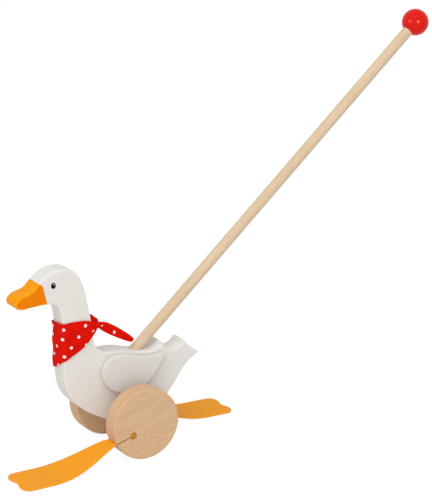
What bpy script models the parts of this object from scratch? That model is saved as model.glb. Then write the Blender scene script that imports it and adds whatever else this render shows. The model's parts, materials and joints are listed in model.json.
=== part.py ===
"""Wooden push-along goose: a sawn plank goose on two wheels, with rubber feet and a long push stick.

The goose looks along +X, its left side is +Y, and it stands on the plane Z = 0.
"""

import math

import bmesh
import bpy
from mathutils import Matrix, Vector

MM = 0.001
COLLECTION = "push_along_goose"
SAME_PLACE = 0.01 * MM
SMOOTH_ANGLE = math.radians(40)

# Gaps
GLUE_GAP = 0.3 * MM
RUNNING_GAP = 0.3 * MM
CLOTH_GAP = 0.5 * MM

# Plank that is the goose
PLANK_THICKNESS = 24 * MM
PLANK_EDGE = 2.6 * MM
# Silhouette as (x, z) in millimetres from the floor under the axle; a third value marks a sharp corner.
GOOSE_OUTLINE = [
    (129.6, 180.7), (125.7, 187.2), (110.6, 192.7), (101, 201.3), (92, 207.9), (76, 211.5), (61.8, 207),
    (51.7, 192), (44.5, 162), (40.3, 140), (38, 121.5), (30, 114.2), (18, 111.3), (2, 108.9), (-20, 105.1),
    (-34, 105.2), (-42.8, 111.3, "sharp"), (-48, 103.3), (-58, 101.4), (-64.8, 104.6), (-69.3, 109.2, "sharp"),
    (-76, 100.9), (-88.3, 92.2, "sharp"), (-73.2, 82.3), (-58.3, 63.2), (-38, 41), (0, 28.2), (33, 40),
    (61.8, 60.4), (72.8, 77), (76, 99), (75.7, 129), (77, 159), (82, 172.5), (93, 175.6), (112, 175),
    (125, 175.4),
]
BEAK_LINE_LOW = (93.2, 176)
BEAK_LINE_HIGH = (98.8, 200.6)

# Wing blanks glued to the flat sides
WING_THICKNESS = 7 * MM
WING_EDGE = 2 * MM
WING_OUTLINE = [
    (33.5, 89.5), (30, 100.2), (21.8, 107.8), (5, 108.2), (-17, 102), (-43.5, 102, "sharp"), (-32.5, 84),
    (-14.5, 68.5), (7, 64.8), (24.5, 72.2),
]

# Push stick and its knob
STICK_DIAMETER = 12 * MM
STICK_SLOPE = math.radians(41.5)
STICK_ENTRY = Vector((-16 * MM, 0, 106 * MM))
STICK_SOCKET = 36 * MM
STICK_FREE_LENGTH = 467 * MM
STICK_IN_KNOB = 12 * MM
KNOB_DIAMETER = 30 * MM
ROD_CHAMFER = 1 * MM

# Wheels, axle and the sleeves that hold the wheels off the plank
WHEEL_RADIUS = 39 * MM
WHEEL_THICKNESS = 20 * MM
WHEEL_EDGE = 2.2 * MM
WHEEL_TRACK = 84 * MM
AXLE_DIAMETER = 8 * MM
AXLE_IN_WHEEL = 13 * MM
SLEEVE_DIAMETER = 15 * MM

# Rubber feet: a bead and a web in a keyhole slot of the wheel, and a webbed flap outside it
BEAD_DIAMETER = 7.6 * MM
BEAD_PLACE = (16 * MM, -9.8 * MM)
WEB_THICKNESS = 1 * MM
ROOT_RECESS = 1.2 * MM
SLOT_GAP = 0.25 * MM
SLOT_SLOPE = math.radians(-16.3)
FLAP_THICKNESS = 2.4 * MM
FLAP_EDGE = 1.1 * MM
FLAP_LENGTH = 117 * MM
FLAP_HALF_WIDTH = 24.8 * MM
FLAP_FLARE_SHARE = 0.72
FLAP_LEAN = 1.5 * MM
FLAP_NOTCH = 2.6 * MM
FLAP_NOTCH_SHARE = 0.5
FLAP_CORNER = 10 * MM
FLAP_CORNER_SHARE = 0.45
# The flap leaves along the slot and comes down to the floor in an S; the handles hold its slope at each end.
FLAP_SETTLE_RUN = 80 * MM
FLAP_SLOT_HANDLE = 25 * MM
FLAP_FLOOR_HANDLE = 35 * MM
FLAP_LIFT = 0.3 * MM
HINGE_STAND_OFF = 1.8 * MM

# Neckerchief, one cloth tied at the back of the neck
CLOTH_THICKNESS = 1.1 * MM
CLOTH_FOLD = 1.3 * MM
CLOTH_FOLD_COUNT = 2.2
CLOTH_FOLD_SLANT = 0.9
CLOTH_HEM_FADE = 0.55
KNOT_LEFT_OF_MIDDLE = 7.5 * MM
KNOT_HEIGHT = 143 * MM
KNOT_RADII = Vector((4.4 * MM, 4.6 * MM, 3.9 * MM))
KNOT_GROOVE = 0.09
KNOT_WRAPS = 3
KNOT_TWIST = 4
# Edges of the cloth in millimetres: distance round the neck from its front, left positive, then the lower and
# the upper edge from the knot's height.
CLOTH_EDGES = [
    (-56, -3, 4.5), (-49, -5.5, 5.5), (-42, -14, 6), (-33, -25, 6.5), (-18.5, -38, 6.5), (-9.5, -43, 6.8),
    (0.5, -39.5, 8), (11.5, -32.6, 9), (19, -28.6, 9.4), (30, -22.8, 9.2), (38, -17, 8.6), (44.5, -9.2, 7),
    (50, -3.5, 4.5),
]
# Below this height the cloth hangs clear of the neck's back.
NAPE = 123 * MM
# The long tail's tip stays this high, clear of the goose's back.
TAIL_TIP_HEIGHT = 117.2 * MM
# Its centre line as (x, y) in millimetres from the knot, share of the drop to the tip, and half the width.
LONG_TAIL = [
    (0, -0.3, 0.05, 3.6), (-5.5, -0.5, 0.155, 5.1), (-16.1, -1.3, 0.41, 5.3), (-28, -1.9, 0.7, 4.4),
    (-36.7, -2.3, 0.92, 3.2), (-40.5, -2.5, 1, 1.8),
]
# The short tail's as (x, y, z) from the knot's top and half the width, in millimetres.
SHORT_TAIL = [(0.1, -1, 0.5, 3.9), (0.8, -1.5, 2, 3.5), (1.7, -2, 3.8, 2.6), (3.1, -3, 7.8, 0.7)]
TAIL_FOLD = 1.6 * MM

AXLE_HEIGHT = WHEEL_RADIUS
HALF_PLANK = PLANK_THICKNESS / 2
WHEEL_INNER = WHEEL_TRACK / 2 - WHEEL_THICKNESS / 2
STICK_DIRECTION = Vector((-math.cos(STICK_SLOPE), 0, math.sin(STICK_SLOPE)))
SLOT_DIRECTION = Vector((math.cos(SLOT_SLOPE), 0, math.sin(SLOT_SLOPE)))
KNOB_CENTRE = STICK_ENTRY + STICK_DIRECTION * (STICK_FREE_LENGTH + math.sqrt(
    (KNOB_DIAMETER / 2) ** 2 - (STICK_DIAMETER / 2) ** 2
))


def slot_reach():
    """Distance along the slot from the bead's centre to the rim."""
    x, z = BEAD_PLACE
    along = x * SLOT_DIRECTION.x + z * SLOT_DIRECTION.z
    return math.sqrt(along ** 2 - (x * x + z * z) + WHEEL_RADIUS ** 2) - along


HINGE_REACH = slot_reach() + HINGE_STAND_OFF
HINGE_FROM_AXLE = Vector((BEAD_PLACE[0], 0, BEAD_PLACE[1])) + SLOT_DIRECTION * HINGE_REACH


def flap_path():
    """Points (x, z) from the hinge along the flap's middle, easing from the slot's slope onto the floor."""
    start = Vector((0, 0))
    floor = FLAP_LIFT + FLAP_THICKNESS / 2 - AXLE_HEIGHT - HINGE_FROM_AXLE.z
    first = Vector((SLOT_DIRECTION.x, SLOT_DIRECTION.z)) * FLAP_SLOT_HANDLE
    end = Vector((FLAP_SETTLE_RUN, floor))
    second = end - Vector((FLAP_FLOOR_HANDLE, 0))
    count = 24
    points = []
    for index in range(count + 1):
        t = index / count
        left = 1 - t
        points.append(start * left ** 3 + first * 3 * t * left ** 2 + second * 3 * t * t * left + end * t ** 3)
    points.append(Vector((end.x + FLAP_LENGTH, floor)))
    return points


def point_along(points, distance):
    """The point and the unit direction at a distance along a line of points."""
    left = distance
    for first, second in zip(points, points[1:]):
        step = (second - first).length
        if left <= step or second is points[-1]:
            direction = (second - first).normalized()
            return first + direction * left, direction
        left -= step


FLAP_TIP = HINGE_FROM_AXLE.x + point_along(flap_path(), FLAP_LENGTH)[0].x
# The frame's origin is under the middle of the whole toy.
MIDDLE = (FLAP_TIP + KNOB_CENTRE.x - KNOB_DIAMETER / 2) / 2


def clear_scene():
    for obj in list(bpy.data.objects):
        bpy.data.objects.remove(obj)


def make_collection(name):
    collection = bpy.data.collections.new(name)
    bpy.context.scene.collection.children.link(collection)
    return collection


def make_material(name, colour, roughness):
    material = bpy.data.materials.new(name)
    material.use_nodes = True
    shader = material.node_tree.nodes["Principled BSDF"]
    shader.inputs["Base Color"].default_value = (*colour, 1)
    shader.inputs["Roughness"].default_value = roughness
    shader.inputs["Metallic"].default_value = 0
    material.diffuse_color = (*colour, 1)
    return material


def make_empty(name, location, parent=None):
    empty = bpy.data.objects.new(name, None)
    empty.location = location
    empty.parent = parent
    PARTS.objects.link(empty)
    return empty


def add_part(name, mesh, material, parent, location=(0, 0, 0)):
    """A named piece whose mesh is in its parent's frame, moved by location."""
    obj = bpy.data.objects.new(name, mesh)
    obj.location = location
    obj.parent = parent
    mesh.materials.append(material)
    mesh.shade_smooth()
    mesh.set_sharp_from_angle(angle=SMOOTH_ANGLE)
    PARTS.objects.link(obj)
    return obj


def cut(obj, name, mesh):
    """Cuts a mesh, given in the part's own frame, out of the part."""
    cutter = bpy.data.objects.new(name, mesh)
    cutter.parent = obj
    cutter.hide_render = True
    cutter.display_type = "WIRE"
    CUTTERS.objects.link(cutter)
    modifier = obj.modifiers.new(name, "BOOLEAN")
    modifier.object = cutter
    modifier.operation = "DIFFERENCE"
    modifier.solver = "EXACT"


def mesh_from(bm, name):
    bmesh.ops.recalc_face_normals(bm, faces=bm.faces)
    mesh = bpy.data.meshes.new(name)
    bm.to_mesh(mesh)
    bm.free()
    return mesh


def mesh_from_curve(curve, name):
    """The curve's solid as a closed mesh, its caps welded on."""
    guide = bpy.data.objects.new(name, curve)
    CUTTERS.objects.link(guide)
    graph = bpy.context.evaluated_depsgraph_get()
    mesh = bpy.data.meshes.new_from_object(guide.evaluated_get(graph))
    bpy.data.objects.remove(guide)
    bm = bmesh.new()
    bm.from_mesh(mesh)
    bmesh.ops.remove_doubles(bm, verts=bm.verts, dist=SAME_PLACE)
    return mesh_from(bm, name)


def inset_outline(outline, distance):
    """The outline's points moved inwards by a distance; the outline runs anticlockwise."""
    points = [Vector(point[:2]) * MM for point in outline]
    moved = []
    for index, point in enumerate(points):
        back = (point - points[index - 1]).normalized()
        ahead = (points[(index + 1) % len(points)] - point).normalized()
        along = (back + ahead).normalized()
        miter = 1 / max(along.dot(back), 0.5) if len(outline[index]) > 2 else 1
        moved.append(point + Vector((-along.y, along.x)) * distance * miter)
    return moved


def board(name, outline, thickness, edge):
    """A sawn board in the XZ plane, centred on Y = 0, with its edges rounded over."""
    curve = bpy.data.curves.new(name, "CURVE")
    curve.dimensions = "2D"
    curve.fill_mode = "BOTH"
    curve.extrude = thickness / 2 - edge
    curve.bevel_depth = edge
    curve.bevel_resolution = 1
    curve.resolution_u = 6
    spline = curve.splines.new("BEZIER")
    spline.bezier_points.add(len(outline) - 1)
    spline.use_cyclic_u = True
    for bezier, source, place in zip(spline.bezier_points, outline, inset_outline(outline, edge)):
        bezier.co = (*place, 0)
        handle = "VECTOR" if len(source) > 2 else "AUTO"
        bezier.handle_left_type = handle
        bezier.handle_right_type = handle
    mesh = mesh_from_curve(curve, name)
    mesh.transform(Matrix.Rotation(math.pi / 2, 4, "X"))
    return mesh


def rod(name, diameter, length, chamfer=0, sides=32):
    """A cylinder along +Z from the origin, with its end edges broken."""
    bm = bmesh.new()
    bmesh.ops.create_cone(
        bm, cap_ends=True, segments=sides, radius1=diameter / 2, radius2=diameter / 2, depth=length,
        matrix=Matrix.Translation((0, 0, length / 2)),
    )
    if chamfer:
        ends = [edge for edge in bm.edges if abs(edge.verts[0].co.z - edge.verts[1].co.z) < chamfer / 10]
        bmesh.ops.bevel(bm, geom=ends, offset=chamfer, segments=2, profile=0.5, affect="EDGES")
    return mesh_from(bm, name)


def turned(name, profile, sides):
    """A piece turned about Z from (radius, z) points that run down its outer side."""
    bm = bmesh.new()
    verts = [bm.verts.new((radius, 0, z)) for radius, z in profile]
    for first, second in zip(verts, verts[1:]):
        bm.edges.new((first, second))
    mesh = bpy.data.meshes.new(name)
    bm.to_mesh(mesh)
    bm.free()
    guide = bpy.data.objects.new(name, mesh)
    CUTTERS.objects.link(guide)
    screw = guide.modifiers.new("turn", "SCREW")
    screw.steps = sides
    screw.render_steps = sides
    screw.use_merge_vertices = True
    screw.merge_threshold = SAME_PLACE
    graph = bpy.context.evaluated_depsgraph_get()
    solid = bpy.data.meshes.new_from_object(guide.evaluated_get(graph))
    bpy.data.objects.remove(guide)
    return solid


def quarter_round(centre, radius, start, steps=3):
    """(radius, z) points of a quarter circle that runs on clockwise from a start angle."""
    angles = [start - math.pi / 2 * step / steps for step in range(steps + 1)]
    return [(centre[0] + radius * math.cos(a), centre[1] + radius * math.sin(a)) for a in angles]


def keyhole(name, bead_radius, half_web, reach, thickness):
    """A bead along Y and the web that leaves it along the slot, extruded from one outline about the bead."""
    open_angle = math.asin(half_web / bead_radius)
    steps = 24
    outline = []
    for step in range(steps + 1):
        angle = open_angle + (2 * math.pi - 2 * open_angle) * step / steps
        outline.append((bead_radius * math.cos(angle), bead_radius * math.sin(angle)))
    outline += [(reach, -half_web), (reach, half_web)]
    curve = bpy.data.curves.new(name, "CURVE")
    curve.dimensions = "2D"
    curve.fill_mode = "BOTH"
    curve.extrude = thickness / 2
    spline = curve.splines.new("POLY")
    spline.points.add(len(outline) - 1)
    spline.use_cyclic_u = True
    for point, place in zip(spline.points, outline):
        point.co = (*place, 0, 1)
    mesh = mesh_from_curve(curve, name)
    mesh.transform(Matrix.Rotation(-SLOT_SLOPE, 4, "Y") @ Matrix.Rotation(math.pi / 2, 4, "X"))
    return mesh


def sheet_mesh(name, rows):
    """A surface of quads through rows of points."""
    bm = bmesh.new()
    grid = [[bm.verts.new(place) for place in row] for row in rows]
    for upper, lower in zip(grid, grid[1:]):
        for index in range(len(upper) - 1):
            bm.faces.new((upper[index], upper[index + 1], lower[index + 1], lower[index]))
    mesh = bpy.data.meshes.new(name)
    bm.to_mesh(mesh)
    bm.free()
    return mesh


def thicken(obj, thickness, offset, edge=0):
    solidify = obj.modifiers.new("thickness", "SOLIDIFY")
    solidify.thickness = thickness
    solidify.offset = offset
    solidify.use_even_offset = True
    if edge:
        rounded = obj.modifiers.new("edge", "BEVEL")
        rounded.width = edge
        rounded.segments = 2
        rounded.limit_method = "ANGLE"
        rounded.angle_limit = SMOOTH_ANGLE


def through(points, place):
    """A smooth value through (position, value...) rows, read at a position."""
    last = len(points) - 1
    index = max(i for i in range(last) if points[i][0] <= place or i == 0)
    p1, p2 = points[index], points[index + 1]
    p0, p3 = points[max(index - 1, 0)], points[min(index + 2, last)]
    t = (place - p1[0]) / (p2[0] - p1[0])
    span = p2[0] - p1[0]
    values = []
    for a, b, c, d in zip(p0[1:], p1[1:], p2[1:], p3[1:]):
        rise_1 = (c - a) / (p2[0] - p0[0]) * span
        rise_2 = (d - b) / (p3[0] - p1[0]) * span
        values.append(
            b * (2 * t ** 3 - 3 * t * t + 1) + rise_1 * (t ** 3 - 2 * t * t + t)
            + c * (3 * t * t - 2 * t ** 3) + rise_2 * (t ** 3 - t * t)
        )
    return values


def make_goose():
    body = add_part("goose_body", board("goose_body", GOOSE_OUTLINE, PLANK_THICKNESS, PLANK_EDGE), WHITE, FRAME)
    paint_beak(body)
    bore = rod("axle_bore", AXLE_DIAMETER + 2 * RUNNING_GAP, 2 * PLANK_THICKNESS)
    bore.transform(Matrix.Translation((0, PLANK_THICKNESS, AXLE_HEIGHT)) @ Matrix.Rotation(math.pi / 2, 4, "X"))
    cut(body, "axle_bore", bore)
    socket = rod("stick_socket", STICK_DIAMETER + 2 * GLUE_GAP, 2 * STICK_SOCKET)
    socket.transform(stick_frame(-STICK_SOCKET - GLUE_GAP))
    cut(body, "stick_socket", socket)
    for side, name in ((1, "wing_left"), (-1, "wing_right")):
        wing = board(name, WING_OUTLINE, WING_THICKNESS, WING_EDGE)
        add_part(name, wing, WHITE, FRAME, (0, side * (HALF_PLANK + GLUE_GAP + WING_THICKNESS / 2), 0))
    return body


def paint_beak(body):
    """Gives the beak its orange paint, up to the line where it meets the head."""
    low = Vector((BEAK_LINE_LOW[0], 0, BEAK_LINE_LOW[1])) * MM
    high = Vector((BEAK_LINE_HIGH[0], 0, BEAK_LINE_HIGH[1])) * MM
    ahead = Vector((0, 1, 0)).cross(high - low).normalized()
    body.data.materials.append(ORANGE)
    bm = bmesh.new()
    bm.from_mesh(body.data)
    bmesh.ops.bisect_plane(bm, geom=bm.verts[:] + bm.edges[:] + bm.faces[:], plane_co=low, plane_no=ahead)
    for face in bm.faces:
        centre = face.calc_center_median()
        face.material_index = int((centre - low).dot(ahead) > 0 and centre.z > low.z - PLANK_EDGE)
    bm.to_mesh(body.data)
    bm.free()


def stick_frame(start):
    """Places a rod along the stick's axis, from a distance outside the goose's back."""
    turn = Vector((0, 0, 1)).rotation_difference(STICK_DIRECTION).to_matrix().to_4x4()
    return Matrix.Translation(STICK_ENTRY + STICK_DIRECTION * start) @ turn


def make_stick():
    length = STICK_SOCKET + STICK_FREE_LENGTH + STICK_IN_KNOB
    stick = rod("push_stick", STICK_DIAMETER, length, ROD_CHAMFER)
    stick.transform(stick_frame(-STICK_SOCKET))
    add_part("push_stick", stick, STICK_WOOD, FRAME)
    bm = bmesh.new()
    bmesh.ops.create_uvsphere(bm, u_segments=36, v_segments=18, radius=KNOB_DIAMETER / 2)
    ball = mesh_from(bm, "stick_knob")
    turn = stick_frame(0).to_3x3().to_4x4()
    ball.transform(Matrix.Translation(KNOB_CENTRE) @ turn)
    knob = add_part("stick_knob", ball, RED_GLOSS, FRAME)
    hole = rod("knob_hole", STICK_DIAMETER + 2 * GLUE_GAP, KNOB_DIAMETER)
    hole.transform(stick_frame(STICK_FREE_LENGTH + STICK_IN_KNOB + GLUE_GAP - KNOB_DIAMETER))
    cut(knob, "knob_hole", hole)


def make_wheelset():
    """Axle, sleeves and both wheels; the right wheel is the left one turned half round about Z."""
    wheelset = make_empty("wheelset", (0, 0, AXLE_HEIGHT), FRAME)
    length = 2 * (WHEEL_INNER + AXLE_IN_WHEEL)
    axle = rod("axle", AXLE_DIAMETER, length, ROD_CHAMFER)
    axle.transform(Matrix.Rotation(math.pi / 2, 4, "X") @ Matrix.Translation((0, 0, -length / 2)))
    add_part("axle", axle, STICK_WOOD, wheelset)
    for turn, side, lean in ((0, "left", FLAP_LEAN), (math.pi, "right", -FLAP_LEAN)):
        corner = make_empty("corner_" + side, (0, 0, 0), wheelset)
        corner.rotation_euler = (0, 0, turn)
        make_wheel("wheel_" + side, corner)
        make_sleeve("sleeve_" + side, corner)
        make_foot("foot_" + side, corner, lean)


def make_wheel(name, parent):
    half = WHEEL_THICKNESS / 2
    flat = WHEEL_RADIUS - WHEEL_EDGE
    profile = [(0, half)]
    profile += quarter_round((flat, half - WHEEL_EDGE), WHEEL_EDGE, math.pi / 2)
    profile += quarter_round((flat, WHEEL_EDGE - half), WHEEL_EDGE, 0)
    profile += [(0, -half)]
    mesh = turned(name, profile, 64)
    mesh.transform(Matrix.Rotation(math.pi / 2, 4, "X"))
    wheel = add_part(name, mesh, BEECH, parent, (0, WHEEL_TRACK / 2, 0))
    bore = rod(name + "_bore", AXLE_DIAMETER + 2 * GLUE_GAP, 2 * (AXLE_IN_WHEEL + GLUE_GAP))
    bore.transform(Matrix.Translation((0, -half, 0)) @ Matrix.Rotation(math.pi / 2, 4, "X")
                   @ Matrix.Translation((0, 0, -AXLE_IN_WHEEL - GLUE_GAP)))
    cut(wheel, name + "_bore", bore)
    slot = keyhole(
        name + "_slot", BEAD_DIAMETER / 2 + SLOT_GAP, WEB_THICKNESS / 2 + SLOT_GAP, 2 * WHEEL_RADIUS,
        2 * WHEEL_THICKNESS,
    )
    slot.transform(Matrix.Translation((BEAD_PLACE[0], 0, BEAD_PLACE[1])))
    cut(wheel, name + "_slot", slot)


def make_sleeve(name, parent):
    inner = AXLE_DIAMETER / 2 + GLUE_GAP
    outer = SLEEVE_DIAMETER / 2
    half = (WHEEL_INNER - HALF_PLANK) / 2 - RUNNING_GAP
    profile = [(inner, half), (outer, half), (outer, -half), (inner, -half), (inner, half)]
    mesh = turned(name, profile, 32)
    mesh.transform(Matrix.Rotation(math.pi / 2, 4, "X"))
    add_part(name, mesh, BEECH, parent, (0, (WHEEL_INNER + HALF_PLANK) / 2, 0))


def flap_half_width(along):
    """Half the flap's width: as wide as the wheel at the slot, flaring to the webbed toes."""
    root = WHEEL_THICKNESS / 2 - SLOT_GAP
    flare = min(along / (FLAP_FLARE_SHARE * FLAP_LENGTH), 1)
    return root + (FLAP_HALF_WIDTH - root) * math.sin(flare * math.pi / 2)


def flap_reach(across):
    """Length of the flap at a place across it, from -1 to 1: round outer corners and one shallow notch."""
    into_corner = max(abs(across) - 1 + FLAP_CORNER_SHARE, 0) / FLAP_CORNER_SHARE
    corner = FLAP_CORNER * (1 - math.sqrt(max(1 - into_corner ** 2, 0)))
    notch = FLAP_NOTCH * math.cos(min(abs(across) / FLAP_NOTCH_SHARE, 1) * math.pi / 2) ** 2
    return FLAP_LENGTH - corner - notch


def make_foot(name, parent, lean):
    """A foot in its slot: the root held by the wheel, and the flap that bends at the slot's mouth."""
    web_end = HINGE_REACH - FLAP_THICKNESS / 2 - SLOT_GAP
    root_width = WHEEL_THICKNESS - 2 * ROOT_RECESS
    root = keyhole(name + "_root", BEAD_DIAMETER / 2, WEB_THICKNESS / 2, web_end, root_width)
    add_part(name + "_root", root, ORANGE_RUBBER, parent, (BEAD_PLACE[0], WHEEL_TRACK / 2, BEAD_PLACE[1]))
    hinge = make_empty(name + "_hinge", HINGE_FROM_AXLE + Vector((0, WHEEL_TRACK / 2, 0)), parent)
    path = flap_path()
    start = -FLAP_THICKNESS / 2
    stations, columns = 20, 10
    rows = []
    for station in range(stations + 1):
        row = []
        for column in range(columns + 1):
            across = 2 * column / columns - 1
            along = start + (flap_reach(across) - start) * station / stations
            place, _ = point_along(path, along)
            drift = lean * (max(along, 0) / FLAP_LENGTH) ** 2
            row.append((place.x, across * flap_half_width(max(along, 0)) + drift, place.y))
        rows.append(row)
    flap = add_part(name + "_flap", sheet_mesh(name + "_flap", rows), ORANGE_RUBBER, hinge)
    thicken(flap, FLAP_THICKNESS, 0, FLAP_EDGE)


def rim_of(plank):
    """The plank's silhouette, as pairs of points along one rim of its square edge."""
    rim = HALF_PLANK - PLANK_EDGE
    pairs = [[plank.vertices[index].co for index in edge.vertices] for edge in plank.edges]
    return [(a, b) for a, b in pairs if abs(a.y - rim) < SAME_PLACE and abs(b.y - rim) < SAME_PLACE]


def crossings(rim, z):
    """Where the silhouette crosses a height, from the rear forwards."""
    found = [a.x + (b.x - a.x) * (z - a.z) / (b.z - a.z) for a, b in rim if (a.z < z) != (b.z < z)]
    return sorted(found)


def round_neck(rim, distance, z, lift):
    """A point that far round the neck from the middle of its front, standing off the wood by lift."""
    front = crossings(rim, z)[-1] - PLANK_EDGE
    back = crossings(rim, max(z, NAPE))[-2] + PLANK_EDGE
    side = HALF_PLANK - PLANK_EDGE
    corners = [Vector((front, 0)), Vector((front, side)), Vector((back, side)), Vector((back, -side))]
    quarter = math.pi / 2 * PLANK_EDGE
    left = abs(distance)
    for first, second in zip(corners, corners[1:]):
        run = (second - first).length
        along = (second - first).normalized()
        out = Vector((along.y, -along.x))
        bend = min(max(left - run, 0) / quarter, 1) * math.pi / 2
        if left <= run + quarter or second is corners[-1]:
            turned_out = out * math.cos(bend) + along * math.sin(bend)
            place = first + along * min(left, run) + turned_out * (PLANK_EDGE + lift)
            return Vector((place.x, math.copysign(1, distance) * place.y, z))
        left -= run + quarter


def cloth_lift(distance, down):
    """How far the cloth stands off: folds that fan out from the tied ends and die away at the front and hem."""
    first, last = CLOTH_EDGES[0][0], CLOTH_EDGES[-1][0]
    share = (distance - first) / (last - first)
    from_knot = math.sin(math.pi * share)
    turns = CLOTH_FOLD_COUNT * down + CLOTH_FOLD_SLANT * abs(2 * share - 1)
    wave = (1 + math.cos(2 * math.pi * turns)) / 2
    return CLOTH_GAP + CLOTH_FOLD * wave * from_knot * (1 - CLOTH_HEM_FADE * down)


def make_neckerchief(plank):
    columns, rows = 44, 10
    rim = rim_of(plank)
    first, last = CLOTH_EDGES[0][0], CLOTH_EDGES[-1][0]
    grid = []
    for row in range(rows + 1):
        down = row / rows
        line = []
        for column in range(columns + 1):
            distance = last + (first - last) * column / columns
            low, high = through(CLOTH_EDGES, distance)
            z = KNOT_HEIGHT + (high + (low - high) * down) * MM
            line.append(round_neck(rim, distance * MM, z, cloth_lift(distance, down)))
        grid.append(line)
    cloth = add_part("neckerchief", sheet_mesh("neckerchief", grid), RED_CLOTH, FRAME)
    thicken(cloth, CLOTH_THICKNESS, 1)
    nape = crossings(rim, KNOT_HEIGHT)[-2]
    stand_off = CLOTH_GAP + CLOTH_THICKNESS + CLOTH_FOLD / 4 + GLUE_GAP
    knot = Vector((nape - stand_off - KNOT_RADII.x, KNOT_LEFT_OF_MIDDLE, KNOT_HEIGHT))
    make_knot(knot)
    drop = (TAIL_TIP_HEIGHT - KNOT_HEIGHT) / MM
    long_tail = [(x, y, share * drop, half) for x, y, share, half in LONG_TAIL]
    make_tail("neckerchief_tail_long", long_tail, knot - Vector((KNOT_RADII.x + GLUE_GAP, 0, 0)), 18)
    make_tail("neckerchief_tail_short", SHORT_TAIL, knot + Vector((0, 0, KNOT_RADII.z + GLUE_GAP)), 8)


def make_knot(centre):
    """A small round knot with the grooves where one end wraps over the other."""
    bm = bmesh.new()
    bmesh.ops.create_uvsphere(bm, u_segments=20, v_segments=12, radius=1)
    for vert in bm.verts:
        turn = math.atan2(vert.co.z, vert.co.x)
        groove = 1 - KNOT_GROOVE * (1 + math.cos(KNOT_WRAPS * turn + KNOT_TWIST * vert.co.y)) / 2
        vert.co = Vector([axis * radius for axis, radius in zip(vert.co * groove, KNOT_RADII)]) + centre
    add_part("neckerchief_knot", mesh_from(bm, "neckerchief_knot"), RED_CLOTH, FRAME)


def make_tail(name, line, start, stations):
    """A loose end of the cloth, folded once along its length."""
    rows = []
    last = len(line) - 1
    timed = [(index, *values) for index, values in enumerate(line)]
    for station in range(stations + 1):
        place = last * station / stations
        x, y, z, half = through(timed, place)
        step = 0.01
        ahead = through(timed, min(place + step, last))
        behind = through(timed, max(place - step, 0))
        along = Vector((ahead[0] - behind[0], 0, ahead[2] - behind[2])).normalized()
        across = Vector((along.z, 0, -along.x))
        row = []
        for share in (-1, -0.5, 0, 0.5, 1):
            fold = TAIL_FOLD * (1 - abs(share))
            row.append(start + (Vector((x, y, z)) + across * share * half) * MM + Vector((0, fold, 0)))
        rows.append(row)
    tail = add_part(name, sheet_mesh(name, rows), RED_CLOTH, FRAME)
    thicken(tail, CLOTH_THICKNESS, 0)


clear_scene()
PARTS = make_collection(COLLECTION)
CUTTERS = make_collection("cutters")
CUTTERS.hide_render = True
WHITE = make_material("white_paint", (0.78, 0.76, 0.72), 0.45)
ORANGE = make_material("orange_paint", (0.95, 0.35, 0.0), 0.4)
BEECH = make_material("beech", (0.66, 0.44, 0.24), 0.6)
STICK_WOOD = make_material("beech_dowel", (0.8, 0.6, 0.37), 0.55)
RED_GLOSS = make_material("red_lacquer", (0.8, 0.012, 0.006), 0.15)
ORANGE_RUBBER = make_material("orange_rubber", (0.94, 0.38, 0.02), 0.55)
RED_CLOTH = make_material("red_cloth", (0.8, 0.012, 0.006), 0.85)
FRAME = make_empty("goose_frame", (-MIDDLE, 0, 0))
make_neckerchief(make_goose().data)
make_stick()
make_wheelset()
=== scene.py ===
"""Looks of the push-along goose: painted and lacquered wood, rubber feet and a spotted neckerchief.

Everything is in the part's own frame, in metres: +X is the way the goose looks, +Y its left, Z = 0 the floor.
"""

import json
import math

import bmesh
import bpy
from mathutils import Matrix, Vector
from mathutils.bvhtree import BVHTree


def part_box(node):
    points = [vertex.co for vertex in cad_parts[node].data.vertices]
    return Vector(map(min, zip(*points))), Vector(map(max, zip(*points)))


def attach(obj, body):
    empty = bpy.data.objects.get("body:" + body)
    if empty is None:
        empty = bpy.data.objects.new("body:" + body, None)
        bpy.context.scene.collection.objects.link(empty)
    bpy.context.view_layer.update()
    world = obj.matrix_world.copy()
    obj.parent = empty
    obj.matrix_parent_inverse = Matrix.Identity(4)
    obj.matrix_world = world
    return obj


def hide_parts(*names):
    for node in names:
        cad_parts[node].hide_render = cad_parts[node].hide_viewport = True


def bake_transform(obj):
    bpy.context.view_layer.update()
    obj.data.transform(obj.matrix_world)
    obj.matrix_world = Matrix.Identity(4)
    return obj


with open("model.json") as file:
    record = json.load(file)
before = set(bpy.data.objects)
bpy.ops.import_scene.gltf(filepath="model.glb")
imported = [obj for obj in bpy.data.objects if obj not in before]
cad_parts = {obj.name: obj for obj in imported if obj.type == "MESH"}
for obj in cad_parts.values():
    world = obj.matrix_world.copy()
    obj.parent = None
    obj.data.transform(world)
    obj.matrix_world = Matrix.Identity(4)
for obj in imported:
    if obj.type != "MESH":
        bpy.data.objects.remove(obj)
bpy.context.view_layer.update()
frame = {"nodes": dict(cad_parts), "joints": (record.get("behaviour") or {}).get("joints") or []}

MM = 0.001

# Photograph and camera
IMAGE_HEIGHT_PX = 496
FOCAL_LENGTH_PX = 2034.7
SENSOR = 36
CAMERA_AZIMUTH = math.radians(31.2)
CAMERA_ELEVATION = math.radians(16.48)
CAMERA_DISTANCE = 2.2
# Where the camera looks, from the middle of the axle.
CAMERA_TARGET = Vector((-116.7 * MM, 0, 163 * MM))

# Meshes: how near points are joined, how short edges are dropped, and how sharp an edge stays a crease.
JOIN_DISTANCE = 0.001 * MM
SHORTEST_EDGE = 0.0005 * MM
CREASE_ANGLE = math.radians(40)

# Paint on the plank, as (x, z) in millimetres from the axle
BEAK_LINE_LOW = (93.2, 137)
BEAK_LINE_HIGH = (98.8, 161.6)
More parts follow.
